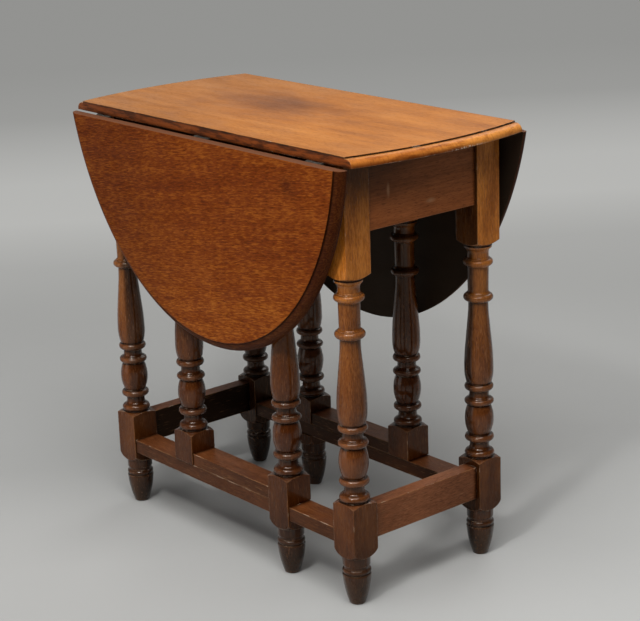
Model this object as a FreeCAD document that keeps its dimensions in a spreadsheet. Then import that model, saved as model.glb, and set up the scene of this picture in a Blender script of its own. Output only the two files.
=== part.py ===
import FreeCAD, Part
import math
import os
import re

import Sketcher

# Oak gateleg table with an oval top in three boards, both leaves hanging and both gates closed.
# X runs along the top, Y across it and Z up. The origin lies on the floor below the middle of the top.
# The front is at minus Y. Turned half a turn about Z, the front half of the table is its back half.

SIZES = (
    # name, millimetres or degrees, what it measures
    ("table_height", 720, "floor to upper face of the top"),
    ("board_thickness", 15.5, "top and leaves"),
    ("top_length", 745, "over the middle of the bowed ends"),
    ("top_width", 347, "between the straight sides"),
    ("end_bow", 21.3, "rise of each bowed end"),
    ("ovolo", 12, "radius of the edge moulding"),
    ("quirk", 3, "flat between step and ovolo"),
    ("step", 2.5, "step above the ovolo"),
    ("under_round", 0.8, "rounding below the ovolo"),
    ("joint_gap", 0.8, "air between the top and a raised leaf"),
    ("pin_offset", 2.35, "hinge pin beyond the side of the top"),
    ("pin_drop", 2.85, "hinge pin below the underside"),
    ("front_reach", 341.5, "hinge pin to rim of the front leaf"),
    ("back_reach", 360.5, "hinge pin to rim of the back leaf"),
    ("oval_inset", 82, "middle of a leaf's oval inside the hinge pin"),
    ("oval_margin", 17, "end of a leaf's oval inside the end of the top"),
    ("leaf_lean", 2.4, "degrees by which a hanging leaf leans in"),
    ("leg_square", 48, "side of the leg blanks"),
    ("end_overhang", 80.5, "leg centre inside the end of the top"),
    ("leg_spacing_cross", 269.4, "leg centres across the table"),
    ("upper_block", 172, "square part at the top of a leg"),
    ("lower_block", 69.5, "square part at the stretchers"),
    ("foot_height", 96, "turned foot below the lower block"),
    ("apron_depth", 109.5, "height of all aprons"),
    ("end_apron_thickness", 22, "aprons at the ends"),
    ("end_apron_setback", 4.5, "end apron behind the leg face"),
    ("side_apron_thickness", 26, "aprons behind the leaves"),
    ("end_stretcher_depth", 54, "height of the end stretchers"),
    ("end_stretcher_thickness", 25, "end stretchers"),
    ("end_stretcher_rise", 106, "floor to end stretcher"),
    ("end_stretcher_setback", 7, "end stretcher behind the leg face"),
    ("side_stretcher_width", 44, "flat side stretchers"),
    ("side_stretcher_thickness", 23, "flat side stretchers"),
    ("side_stretcher_rise", 101, "floor to side stretcher"),
    ("tenon_length", 18, "tenons of all rails"),
    ("tenon_thickness", 8, "tenons of all rails"),
    ("tenon_shoulder", 6, "rail edge to tenon edge"),
    ("glue_gap", 0.1, "glue line round a tenon"),
    ("mortise_slack", 0.8, "mortise deeper than its tenon"),
    ("post_offset", 121.5, "pivot post from the middle of the table"),
    ("gate_leg_offset", 132, "gate leg from the middle of the table"),
    ("post_lower_block", 50.5, "square part at the foot of a post"),
    ("gate_clearance", 0.5, "air above and below the gate"),
    ("halving_gap", 1, "air in the halved joints of the gate"),
    ("head_gap", 1.5, "gate leg below the raised leaf"),
    ("upper_rail_depth", 32, "upper rail of the gate"),
    ("upper_rail_thickness", 22, "upper rail of the gate"),
    ("upper_rail_drop", 3, "upper rail below the apron"),
    ("lower_rail_depth", 20.5, "lower rail of the gate"),
    ("lower_rail_width", 44, "lower rail of the gate"),
    ("pivot_diameter", 15, "turned pivots of the post"),
    ("pivot_length", 17, "turned pivots of the post"),
    ("pivot_clearance", 0.08, "radial air round a pivot"),
    ("hinge_spacing", 272, "between neighbouring hinges"),
    ("hinge_width", 36, "along the pin"),
    ("flap_thickness", 1.6, "hinge flaps"),
    ("flap_length", 16, "hinge pin to end of a flap"),
    ("knuckle_diameter", 5, "hinge knuckles"),
    ("knuckle_gap", 0.4, "air round a knuckle"),
    ("pin_diameter", 3, "hinge pins"),
    ("pin_clearance", 0.05, "radial air round a hinge pin"),
    ("screw_diameter", 3.2, "hinge screws"),
    ("screw_head", 6.2, "hinge screw heads"),
    ("screw_length", 14, "hinge screws"),
    ("screw_clearance", 0.05, "radial air round a screw"),
    ("glue_block_square", 22, "glue blocks"),
    ("glue_block_length", 60, "glue blocks"),
    ("glue_block_spacing", 120, "between the two blocks of an apron"),
    ("top_screw_diameter", 4.5, "screws through the glue blocks"),
    ("top_screw_head", 9, "their heads"),
    ("top_screw_length", 34, "their length"),
    ("overrun", 2, "cuts beyond the faces that they open"),
)

# Turning between the blocks, from the lower block up: share of the turned length, share of half the blank,
# and the curve up to this point as a share of its chord, outwards if positive.
TURNING_SHARES = (
    (0.000, 1.460, 0.000),  # corner of the lower block
    (0.014, 1.000, 0.000),  # shoulder
    (0.015, 0.895, 0.000),
    (0.019, 0.895, 0.000),
    (0.045, 0.895, 0.260),  # base ring
    (0.048, 0.830, 0.000),
    (0.065, 0.660, -0.150),
    (0.084, 0.645, 0.000),  # neck
    (0.089, 0.790, 0.000),
    (0.119, 0.790, 0.430),  # ring below the bulb
    (0.121, 0.740, 0.000),
    (0.192, 0.975, 0.053),  # bulb
    (0.253, 0.790, 0.048),
    (0.256, 0.765, 0.000),
    (0.259, 0.830, 0.000),
    (0.285, 0.830, 0.400),  # ring above the bulb
    (0.287, 0.810, 0.000),
    (0.300, 0.665, -0.150),
    (0.319, 0.645, 0.000),  # neck
    (0.323, 0.790, 0.000),
    (0.354, 0.790, 0.390),  # ring below the vase
    (0.358, 0.805, 0.000),
    (0.362, 0.860, 0.000),
    (0.421, 0.983, 0.035),  # belly of the vase
    (0.535, 0.890, 0.013),
    (0.634, 0.745, 0.000),
    (0.725, 0.662, -0.015),  # top of the vase
    (0.729, 0.790, 0.000),
    (0.760, 0.800, 0.410),  # ring above the vase
    (0.764, 0.783, 0.000),
    (0.777, 0.690, -0.150),
    (0.881, 0.710, 0.000),  # column
    (0.886, 0.790, 0.000),
    (0.916, 0.805, 0.420),  # top ring
    (0.920, 0.790, 0.000),
    (0.928, 0.717, -0.200),
    (0.943, 0.710, 0.000),  # neck
    (0.966, 0.910, -0.120),
    (0.975, 0.933, 0.000),  # collar
    (0.977, 0.855, 0.000),
    (0.982, 0.855, 0.000),
    (0.985, 1.000, 0.000),  # shoulder
    (1.000, 1.460, 0.000),  # corner of the upper block
)

# Foot, from the floor up: share of the foot height, then as above.
FOOT_SHARES = (
    (0.000, 0.480, 0.000),
    (0.020, 0.540, 0.150),  # rounded toe
    (0.510, 0.950, 0.035),  # taper
    (0.526, 0.933, 0.000),
    (0.536, 0.867, 0.000),
    (0.547, 0.867, 0.000),  # groove
    (0.552, 0.895, 0.000),
    (0.615, 0.895, 0.200),  # bead
    (0.625, 0.840, 0.000),
    (0.651, 0.840, 0.000),  # groove
    (0.688, 0.900, -0.100),
    (0.833, 0.925, 0.000),  # neck
    (0.844, 1.000, 0.000),
    (1.000, 1.460, 0.120),  # corner of the lower block
)

# Screws of one flap: share of the hinge width from its middle, share of the flap length.
FLAP_SCREW_SHARES = ((-0.32, 0.62), (0.0, 0.62), (0.32, 0.62))

KNUCKLES = 3
ROUNDING_SHARE = 1e-9

doc = FreeCAD.newDocument("GatelegTable")
sheet = doc.addObject("Spreadsheet::Sheet", "Sizes")
for row, (name, value, meaning) in enumerate(SIZES, start=1):
    sheet.set(f"A{row}", meaning)
    sheet.set(f"B{row}", str(value))
    sheet.setAlias(f"B{row}", name)
doc.recompute()
NAMES = {name for name, value, meaning in SIZES}


def bound(formula):
    """Write a formula in size names as an expression on the sheet."""
    return re.sub(r"[a-z][a-z_]+", lambda m: f"Sizes.{m[0]}" if m[0] in NAMES else m[0], formula)


def number(formula):
    """Value of a formula in size names."""
    return float(sheet.evalExpression(bound(formula)))


# Places that several pieces share, as formulas.
underside = "(table_height - board_thickness)"
half_length = "(top_length / 2)"
half_width = "(top_width / 2)"
moulding_width = "(ovolo + quirk)"
pin_line = f"({half_width} + pin_offset)"
pin_height = f"({underside} - pin_drop)"
leg_half = "(leg_square / 2)"
turn_start = "(foot_height + lower_block)"
turn_length = f"({underside} - upper_block - {turn_start})"
leg_x = f"({half_length} - end_overhang)"
leg_y = "(leg_spacing_cross / 2)"
side_rail_length = f"(2 * {leg_x} - leg_square)"
apron_bottom = f"({underside} - apron_depth)"
side_stretcher_top = "(side_stretcher_rise + side_stretcher_thickness)"
post_bottom = f"({side_stretcher_top} + gate_clearance)"
post_top = f"({apron_bottom} - gate_clearance)"
halving_x = "(leg_square / 2 + halving_gap)"
mortise_depth = "(tenon_length + mortise_slack)"
pivot_bore = "(pivot_diameter / 2 + pivot_clearance)"
knuckle_radius = "(knuckle_diameter / 2)"
knuckle_room = f"({knuckle_radius} + knuckle_gap)"
knuckle_width = f"(hinge_width / {KNUCKLES})"
pin_bore = "(pin_diameter / 2 + pin_clearance)"
flap_level = "(pin_drop - flap_thickness)"


def new_body(label):
    """Start a piece."""
    body = doc.addObject("PartDesign::Body", label)
    body.Label = label
    return body


def new_sketch(body, name, role, offset="0"):
    """Sketch on a plane of the piece's own origin, moved along the plane's normal."""
    sketch = body.newObject("Sketcher::SketchObject", f"{body.Name}_{name}")
    plane = next(f for f in body.Origin.OriginFeatures if f.Role == role)
    sketch.AttachmentSupport = (plane, "")
    sketch.MapMode = "FlatFace"
    sketch.setExpression("AttachmentOffset.Base.z", bound(offset))
    return sketch


def bind(sketch, constraints):
    """Add constraints, each bound to its formula unless that is None."""
    first = len(sketch.Constraints)
    sketch.addConstraint([constraint for constraint, formula in constraints])
    for index, (constraint, formula) in enumerate(constraints, start=first):
        if formula is not None:
            sketch.setExpression(f"Constraints[{index}]", bound(formula))


def arc_through(start, end, radius, side):
    """Short arc from start to end, bulging to the left of the way (side 1) or to the right (side -1)."""
    chord = end - start
    left = FreeCAD.Vector(-chord.y, chord.x, 0).normalize()
    centre = (start + end) * 0.5 - left * side * math.sqrt(radius**2 - (chord.Length / 2) ** 2)
    first, last = (end, start) if side > 0 else (start, end)
    angles = [math.atan2(p.y - centre.y, p.x - centre.x) for p in (first, last)]
    if angles[1] < angles[0]:
        angles[1] += 2 * math.pi
    circle = Part.Circle(centre, FreeCAD.Vector(0, 0, 1), radius)
    return Part.ArcOfCircle(circle, *angles)


def draw(sketch, corners, arcs=None):
    """Draw a closed outline. Corners are pairs of formulas; arcs maps an edge to its radius and side."""
    arcs = arcs or {}
    first = sketch.GeometryCount
    places = [FreeCAD.Vector(number(x), number(y), 0) for x, y in corners]
    ends = []
    constraints = []
    for i, start in enumerate(places):
        end = places[(i + 1) % len(places)]
        if i in arcs:
            radius, side = arcs[i]
            sketch.addGeometry(arc_through(start, end, number(radius), side), False)
            constraints.append((Sketcher.Constraint("Radius", first + i, number(radius)), radius))
            ends.append((2, 1) if side > 0 else (1, 2))
        else:
            sketch.addGeometry(Part.LineSegment(start, end), False)
            ends.append((1, 2))
    for i, (x, y) in enumerate(corners):
        after = (i + 1) % len(corners)
        joined = Sketcher.Constraint("Coincident", first + i, ends[i][1], first + after, ends[after][0])
        constraints.append((joined, None))
        across = Sketcher.Constraint("DistanceX", -1, 1, first + i, ends[i][0], places[i].x)
        constraints.append((across, x))
        along = Sketcher.Constraint("DistanceY", -1, 1, first + i, ends[i][0], places[i].y)
        constraints.append((along, y))
    bind(sketch, constraints)


def draw_box(sketch, left, right, low, high):
    """Draw a rectangle between four formulas."""
    draw(sketch, ((left, low), (right, low), (right, high), (left, high)))


def draw_circle(sketch, x, y, radius):
    """Draw a circle."""
    index = sketch.GeometryCount
    centre = FreeCAD.Vector(number(x), number(y), 0)
    sketch.addGeometry(Part.Circle(centre, FreeCAD.Vector(0, 0, 1), number(radius)), False)
    bind(sketch, (
        (Sketcher.Constraint("Radius", index, number(radius)), radius),
        (Sketcher.Constraint("DistanceX", -1, 1, index, 3, centre.x), x),
        (Sketcher.Constraint("DistanceY", -1, 1, index, 3, centre.y), y),
    ))


def draw_ellipse(sketch, y, half_x, half_y):
    """Draw an ellipse whose centre lies on the sketch's vertical axis and whose long axis is vertical."""
    index = sketch.GeometryCount
    middle = FreeCAD.Vector(0, number(y), 0)
    tip = middle + FreeCAD.Vector(0, number(half_y), 0)
    flank = middle + FreeCAD.Vector(number(half_x), 0, 0)
    sketch.addGeometry(Part.Ellipse(tip, flank, middle), False)
    sketch.exposeInternalGeometry(index)
    bind(sketch, (
        (Sketcher.Constraint("DistanceX", -1, 1, index, 3, 0), "0"),
        (Sketcher.Constraint("DistanceY", -1, 1, index, 3, middle.y), y),
        (Sketcher.Constraint("Vertical", index + 1), None),
        (Sketcher.Constraint("Distance", index + 1, 2 * number(half_y)), f"2 * {half_y}"),
        (Sketcher.Constraint("Distance", index + 2, 2 * number(half_x)), f"2 * {half_x}"),
    ))


def pad(body, sketch, length, both_ways=False):
    """Add material along the sketch's normal, or half of it each way."""
    feature = body.newObject("PartDesign::Pad", f"{sketch.Name}_pad")
    feature.Profile = sketch
    feature.SideType = "Symmetric" if both_ways else "One side"
    feature.setExpression("Length", bound(length))
    doc.recompute()
    return feature


def pocket(body, sketch, length, along_normal=False, both_ways=False):
    """Cut material against the sketch's normal, along it, or half of it each way."""
    before = body.Shape.Volume
    feature = body.newObject("PartDesign::Pocket", f"{sketch.Name}_pocket")
    feature.Profile = sketch
    feature.SideType = "Symmetric" if both_ways else "One side"
    feature.Reversed = along_normal
    feature.setExpression("Length", bound(length))
    doc.recompute()
    if not body.Shape.Volume < before:
        raise RuntimeError(f"{feature.Name} cuts nothing")
    return feature


def turn(body, name, shares, start, length):
    """Turn a square blank to a profile, leaving its corners proud at the blocks."""
    sketch = new_sketch(body, name, "XZ_Plane")
    corners = []
    arcs = {}
    for index, (height, radius, curve) in enumerate(shares):
        corners.append((f"{leg_half} * {radius}", f"{start} + {length} * {height}"))
        if curve:
            below_height, below_radius = shares[index - 1][:2]
            rise = f"{length} * {round(height - below_height, 4)}"
            spread = f"{leg_half} * {round(radius - below_radius, 4)}"
            bend = abs(curve) / 2 + 1 / (8 * abs(curve))
            arcs[index - 1] = (f"sqrt(({rise}) ^ 2 + ({spread}) ^ 2) * {bend}", -1 if curve > 0 else 1)
    if shares[0][1] < 1:
        corners.insert(0, (f"{leg_half} * {shares[-1][1]}", start))
        arcs = {edge + 1: arc for edge, arc in arcs.items()}
    draw(sketch, corners, arcs)
    before = body.Shape.Volume
    groove = body.newObject("PartDesign::Groove", f"{sketch.Name}_groove")
    groove.Profile = sketch
    groove.ReferenceAxis = (sketch, ["V_Axis"])
    groove.Angle = 360
    doc.recompute()
    if not body.Shape.Volume < before:
        raise RuntimeError(f"{groove.Name} cuts nothing")


def blank(label, height):
    """Square blank that stands on its own origin."""
    body = new_body(label)
    sketch = new_sketch(body, "section", "XY_Plane")
    draw_box(sketch, f"-{leg_half}", leg_half, f"-{leg_half}", leg_half)
    pad(body, sketch, height)
    return body


def mortise(body, name, role, towards, middle, width, low, high):
    """Mortise in a face of a square blank, opening towards plus or minus the axis across the plane."""
    floor = f"({leg_half} - {mortise_depth})"
    # The XZ plane's normal is minus Y and the YZ plane's is plus X.
    along_normal = (towards > 0) == (role == "YZ_Plane")
    sketch = new_sketch(body, name, role, floor if along_normal else f"-{floor}")
    half = f"({width} / 2 + glue_gap)"
    draw_box(sketch, f"{middle} - {half}", f"{middle} + {half}", f"{low} - glue_gap", f"{high} + glue_gap")
    pocket(body, sketch, f"{mortise_depth} + overrun", along_normal=along_normal)


def rail(label, role, length, width, depth, flat=False):
    """Rail between two blocks with a tenon at each end, its middle at the origin."""
    body = new_body(label)
    section = new_sketch(body, "section", role)
    draw_box(section, f"-{width} / 2", f"{width} / 2", f"-{depth} / 2", f"{depth} / 2")
    pad(body, section, length, both_ways=True)
    across, upright = "tenon_thickness / 2", f"({depth} / 2 - tenon_shoulder)"
    if flat:
        across, upright = f"({width} / 2 - tenon_shoulder)", "tenon_thickness / 2"
    tenon = new_sketch(body, "tenon", role)
    draw_box(tenon, f"-{across}", across, f"-{upright}", upright)
    pad(body, tenon, f"{length} + 2 * tenon_length", both_ways=True)
    return body


def place(piece, x, y, z, turned=0, roll=0):
    """Set a piece in the front half of the table, or turned half a turn into the back half."""
    piece.Placement = FreeCAD.Placement(FreeCAD.Vector(), FreeCAD.Rotation(turned, 0, roll))
    sign = "-" if turned else ""
    piece.setExpression("Placement.Base.x", bound(f"{sign}({x})"))
    piece.setExpression("Placement.Base.y", bound(f"{sign}({y})"))
    piece.setExpression("Placement.Base.z", bound(z))


def corner_leg(label, inward):
    """Corner leg; inward is the way along X to the middle of the table."""
    body = blank(label, underside)
    turn(body, "turning", TURNING_SHARES, turn_start, turn_length)
    turn(body, "foot", FOOT_SHARES, "0", "foot_height")
    outward = "-" if inward > 0 else ""
    low, high = f"{apron_bottom} + tenon_shoulder", f"{underside} - tenon_shoulder"
    middle = f"{outward}({leg_half} - end_apron_setback - end_apron_thickness / 2)"
    mortise(body, "end_apron_mortise", "XZ_Plane", 1, middle, "tenon_thickness", low, high)
    mortise(body, "side_apron_mortise", "YZ_Plane", inward, "0", "tenon_thickness", low, high)
    low = "end_stretcher_rise + tenon_shoulder"
    high = "end_stretcher_rise + end_stretcher_depth - tenon_shoulder"
    middle = f"{outward}({leg_half} - end_stretcher_setback - end_stretcher_thickness / 2)"
    mortise(body, "end_stretcher_mortise", "XZ_Plane", 1, middle, "tenon_thickness", low, high)
    low = "side_stretcher_rise + side_stretcher_thickness / 2 - tenon_thickness / 2"
    width = "(side_stretcher_width - 2 * tenon_shoulder)"
    mortise(body, "side_stretcher_mortise", "YZ_Plane", inward, "0", width, low, f"{low} + tenon_thickness")
    return body


# Heights of the gate rails, shared by their mortises.
upper_rail_top = f"({apron_bottom} - upper_rail_drop)"
upper_rail_bottom = f"({upper_rail_top} - upper_rail_depth)"
lower_rail_middle = f"({post_bottom} + lower_rail_depth / 2)"


def gate_mortises(body, towards, base):
    """Mortises for both gate rails in a piece whose origin stands at the height base."""
    low = f"{upper_rail_bottom} + tenon_shoulder - {base}"
    high = f"{upper_rail_top} - tenon_shoulder - {base}"
    mortise(body, "upper_rail_mortise", "YZ_Plane", towards, "0", "tenon_thickness", low, high)
    low = f"{lower_rail_middle} - tenon_thickness / 2 - {base}"
    width = "(lower_rail_width - 2 * tenon_shoulder)"
    mortise(body, "lower_rail_mortise", "YZ_Plane", towards, "0", width, low, f"{low} + tenon_thickness")


def gate_leg(label):
    """Gate leg, its inner half cut away at the side apron and at the side stretcher."""
    body = blank(label, f"{underside} - head_gap")
    turn(body, "turning", TURNING_SHARES, turn_start, turn_length)
    turn(body, "foot", FOOT_SHARES, "0", "foot_height")
    gate_mortises(body, -1, "0")
    sketch = new_sketch(body, "halvings", "YZ_Plane")
    inner = f"{leg_half} + overrun"
    draw_box(sketch, "-halving_gap / 2", inner, post_top, f"{underside} + overrun")
    low = "side_stretcher_rise - gate_clearance"
    draw_box(sketch, "-halving_gap / 2", inner, low, f"{side_stretcher_top} + gate_clearance")
    pocket(body, sketch, "leg_square + 2 * overrun", both_ways=True)
    return body


def gate_post(label):
    """Pivot post with a turned pivot at each end."""
    height = f"({post_top} - {post_bottom})"
    body = blank(label, height)
    turn(body, "turning", TURNING_SHARES, "post_lower_block", turn_length)
    for name, level in (("lower_pivot", "-pivot_length"), ("upper_pivot", f"{height} - overrun")):
        pivot = new_sketch(body, name, "XY_Plane", level)
        draw_circle(pivot, "0", "0", "pivot_diameter / 2")
        pad(body, pivot, "pivot_length + overrun")
    gate_mortises(body, 1, post_bottom)
    return body


def side_apron(label):
    """Apron behind a leaf, halved for the gate leg and bored for the post."""
    body = rail(label, "YZ_Plane", side_rail_length, "side_apron_thickness", "apron_depth")
    notch = new_sketch(body, "notch", "XZ_Plane", "-halving_gap / 2")
    half = "apron_depth / 2 + overrun"
    draw_box(notch, f"gate_leg_offset - {halving_x}", f"gate_leg_offset + {halving_x}", f"-({half})", half)
    pocket(body, notch, "side_apron_thickness", along_normal=True)
    bore = new_sketch(body, "pivot_bore", "XY_Plane", "-apron_depth / 2")
    draw_circle(bore, "-post_offset", "0", pivot_bore)
    pocket(body, bore, "pivot_length", along_normal=True)
    return body


def side_stretcher(label):
    """Flat stretcher, halved for the gate leg and bored for the post."""
    width, depth = "side_stretcher_width", "side_stretcher_thickness"
    body = rail(label, "YZ_Plane", side_rail_length, width, depth, flat=True)
    notch = new_sketch(body, "notch", "XY_Plane")
    left, right = f"gate_leg_offset - {halving_x}", f"gate_leg_offset + {halving_x}"
    draw_box(notch, left, right, "-side_stretcher_width / 2 - overrun", "halving_gap / 2")
    pocket(body, notch, "side_stretcher_thickness + overrun", both_ways=True)
    bore = new_sketch(body, "pivot_bore", "XY_Plane", "side_stretcher_thickness / 2")
    draw_circle(bore, "-post_offset", "0", pivot_bore)
    pocket(body, bore, "pivot_length")
    return body


def round_edges(body, board, level, radius):
    """Round the curved edges of a board that lie at a level."""
    names = []
    for index, edge in enumerate(board.Shape.Edges, start=1):
        middle = edge.valueAt((edge.FirstParameter + edge.LastParameter) / 2)
        curved = not isinstance(edge.Curve, Part.Line)
        if curved and abs(middle.z - level) < ROUNDING_SHARE * board.Shape.BoundBox.ZLength:
            names.append(f"Edge{index}")
    fillet = body.newObject("PartDesign::Fillet", f"{body.Name}_{radius}")
    fillet.Base = (board, names)
    fillet.setExpression("Radius", bound(radius))
    doc.recompute()
    return fillet


def mould_rim(body, board):
    """Give a board its ovolo above and its rounding below."""
    box = board.Shape.BoundBox
    moulded = round_edges(body, board, box.ZMax, "ovolo")
    round_edges(body, moulded, box.ZMin, "under_round")


hinge_pilot = "(screw_length - flap_thickness)"


def flap_screws():
    """Places of one flap's screws, along the pin and out from it."""
    return [(f"hinge_width * {along}", f"(flap_length * {out})") for along, out in FLAP_SCREW_SHARES]


hinge_places = ("-hinge_spacing", "0", "hinge_spacing")
glue_block_far = f"({leg_half} - end_apron_setback - end_apron_thickness)"
end_block_x = f"({leg_x} + {glue_block_far} - glue_block_square / 2)"
side_block_y = f"({leg_y} - side_apron_thickness / 2 - glue_block_square / 2)"
glue_blocks = []
for sign in ("-", ""):
    for other in ("-", ""):
        glue_blocks.append((f"{sign}{end_block_x}", f"{other}glue_block_spacing / 2", 90))
        glue_blocks.append((f"{other}glue_block_spacing / 2", f"{sign}{side_block_y}", 0))


def screw_pilots(body, name, level, places, diameter, depth):
    """Bore for screws upwards from a level."""
    sketch = new_sketch(body, name, "XY_Plane", level)
    for x, y in places:
        draw_circle(sketch, x, y, f"{diameter} / 2 + screw_clearance")
    pocket(body, sketch, depth, along_normal=True)


def bowed_outline(sketch, x, radius):
    """Draw a rectangle as wide as the top, its corners at plus and minus x and its ends bowed to a radius."""
    corners = ((f"-{x}", f"-{half_width}"), (x, f"-{half_width}"), (x, half_width), (f"-{x}", half_width))
    draw(sketch, corners, {1: (radius, -1), 3: (radius, -1)})


# Top board, its underside at the height of its origin.
top = new_body("top_board")
end_radius = f"((end_bow ^ 2 + {half_width} ^ 2) / (2 * end_bow))"
outline = new_sketch(top, "outline", "XY_Plane")
bowed_outline(outline, f"({half_length} - end_bow)", end_radius)
board = pad(top, outline, "board_thickness - step")
mould_rim(top, board)
field = new_sketch(top, "field", "XY_Plane")
field_radius = f"({end_radius} - {moulding_width})"
field_x = f"({half_length} - {end_radius} + sqrt({field_radius} ^ 2 - {half_width} ^ 2))"
bowed_outline(field, field_x, field_radius)
pad(top, field, "board_thickness")
pilots = []
for sign in ("-", ""):
    for hinge_x in hinge_places:
        for along, out in flap_screws():
            pilots.append((f"{hinge_x} + {along}", f"{sign}({pin_line} - {out})"))
screw_pilots(top, "hinge_pilots", "0", pilots, "screw_diameter", hinge_pilot)
pilots = [(x, y) for x, y, turned in glue_blocks]
screw_pilots(top, "block_pilots", "0", pilots, "top_screw_diameter", "top_screw_length - glue_block_square")
place(top, "0", "0", underside)
pieces = [top]


def leaf(label, leaf_reach):
    """Leaf as it lies when raised, reaching to minus Y from the hinge pin at its origin."""
    body = new_body(label)
    half_x, half_y = f"({half_length} - oval_margin)", f"({leaf_reach} + oval_inset)"
    outline = new_sketch(body, "outline", "XY_Plane", "pin_drop")
    draw_ellipse(outline, "oval_inset", half_x, half_y)
    board = pad(body, outline, "board_thickness - step")
    mould_rim(body, board)
    field = new_sketch(body, "field", "XY_Plane", "pin_drop")
    draw_ellipse(field, "oval_inset", f"({half_x} - {moulding_width})", f"({half_y} - {moulding_width})")
    pad(body, field, "board_thickness")
    joint = new_sketch(body, "joint", "XY_Plane", "pin_drop")
    beyond = f"oval_inset + {half_y} + overrun"
    draw_box(joint, f"-{half_length}", half_length, "pin_offset - joint_gap", beyond)
    pocket(body, joint, "board_thickness + overrun", along_normal=True)
    pilots = []
    for hinge_x in hinge_places:
        for along, out in flap_screws():
            pilots.append((f"{hinge_x} + {along}", f"-{out}"))
    screw_pilots(body, "hinge_pilots", "pin_drop", pilots, "screw_diameter", hinge_pilot)
    return body


def countersinks(body, places):
    """Countersunk holes upwards through a flap."""
    sketch = new_sketch(body, "screw_holes", "XY_Plane", flap_level)
    for x, y in places:
        draw_circle(sketch, x, y, "screw_diameter / 2 + screw_clearance")
    doc.recompute()
    before = body.Shape.Volume
    hole = body.newObject("PartDesign::Hole", f"{body.Name}_countersinks")
    hole.Profile = sketch
    hole.Reversed = True
    hole.DepthType = "ThroughAll"
    hole.HoleCutType = "Countersink"
    hole.HoleCutCustomValues = True
    hole.setExpression("Diameter", bound("screw_diameter + 2 * screw_clearance"))
    hole.setExpression("HoleCutDiameter", bound("screw_head + 2 * screw_clearance"))
    hole.HoleCutCountersinkAngle = 90
    doc.recompute()
    if not body.Shape.Volume < before:
        raise RuntimeError(f"{hole.Name} cuts nothing")


def pin_bores(body):
    """Bore the knuckles of a flap for the pin."""
    sketch = new_sketch(body, "pin_bore", "YZ_Plane")
    draw_circle(sketch, "0", "0", pin_bore)
    pocket(body, sketch, "hinge_width + overrun", both_ways=True)


def top_flap(label):
    """Flap under the top, with the two outer knuckles, the pin's middle at its origin."""
    body = new_body(label)
    knuckle = new_sketch(body, "knuckle", "YZ_Plane")
    draw_circle(knuckle, "0", "0", knuckle_radius)
    pad(body, knuckle, "hinge_width", both_ways=True)
    plate = new_sketch(body, "plate", "YZ_Plane")
    draw_box(plate, "0", "flap_length", flap_level, "pin_drop")
    pad(body, plate, "hinge_width", both_ways=True)
    gap = new_sketch(body, "middle_gap", "YZ_Plane")
    draw_box(gap, f"-{knuckle_room}", knuckle_room, f"-{knuckle_room}", knuckle_room)
    pocket(body, gap, f"{knuckle_width} + 2 * knuckle_gap", both_ways=True)
    pin_bores(body)
    countersinks(body, flap_screws())
    return body


def leaf_flap(label):
    """Flap under a leaf, with the middle knuckle."""
    body = new_body(label)
    knuckle = new_sketch(body, "knuckle", "YZ_Plane")
    draw_circle(knuckle, "0", "0", knuckle_radius)
    pad(body, knuckle, knuckle_width, both_ways=True)
    neck = new_sketch(body, "neck", "YZ_Plane")
    draw_box(neck, f"-({knuckle_room} + overrun)", "0", flap_level, "pin_drop")
    pad(body, neck, knuckle_width, both_ways=True)
    plate = new_sketch(body, "plate", "YZ_Plane")
    draw_box(plate, "-flap_length", f"-{knuckle_room}", flap_level, "pin_drop")
    pad(body, plate, "hinge_width", both_ways=True)
    pin_bores(body)
    countersinks(body, [(x, f"-{y}") for x, y in flap_screws()])
    return body


def hinge_pin(label):
    """Hinge pin, its middle at its origin."""
    body = new_body(label)
    sketch = new_sketch(body, "section", "YZ_Plane")
    draw_circle(sketch, "0", "0", "pin_diameter / 2")
    pad(body, sketch, "hinge_width", both_ways=True)
    return body


def screw(label, diameter, head, length):
    """Countersunk screw pointing up, the face of its head at its origin."""
    body = new_body(label)
    sketch = new_sketch(body, "profile", "XZ_Plane")
    sunk = f"({head} - {diameter}) / 2"
    draw(
        sketch,
        (
            ("0", "0"),
            (f"{head} / 2", "0"),
            (f"{diameter} / 2", sunk),
            (f"{diameter} / 2", f"{length} - {diameter}"),
            ("0", length),
        ),
    )
    turned = body.newObject("PartDesign::Revolution", f"{label}_turned")
    turned.Profile = sketch
    turned.ReferenceAxis = (sketch, ["V_Axis"])
    turned.Angle = 360
    doc.recompute()
    return body


def group(label, pattern, places):
    """Copies of one piece as a group; places are x, y, z formulas and a turn about Z."""
    copies = []
    for x, y, z, turned in places:
        where = FreeCAD.Vector(number(x), number(y), number(z))
        copy = pattern.Shape.copy()
        copy.Placement = FreeCAD.Placement(where, FreeCAD.Rotation(turned, 0, 0))
        copies.append(copy)
    piece = doc.addObject("Part::Feature", label)
    piece.Label = label
    piece.Shape = Part.makeCompound(copies)
    return piece


def glue_block(label):
    """Glue block with a countersunk hole for its screw, its upper face at its origin."""
    body = new_body(label)
    section = new_sketch(body, "section", "YZ_Plane")
    half = "glue_block_square / 2"
    draw_box(section, f"-{half}", half, "-glue_block_square", "0")
    pad(body, section, "glue_block_length", both_ways=True)
    profile = new_sketch(body, "screw_hole", "XZ_Plane")
    bore = "(top_screw_diameter / 2 + screw_clearance)"
    mouth = "(top_screw_head / 2 + screw_clearance)"
    sunk = f"-glue_block_square + {mouth} - {bore}"
    draw(
        profile,
        (
            ("0", "-glue_block_square"),
            (mouth, "-glue_block_square"),
            (bore, sunk),
            (bore, "overrun"),
            ("0", "overrun"),
        ),
    )
    groove = body.newObject("PartDesign::Groove", f"{label}_screw_hole_groove")
    groove.Profile = profile
    groove.ReferenceAxis = (profile, ["V_Axis"])
    groove.Angle = 360
    doc.recompute()
    return body


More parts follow.
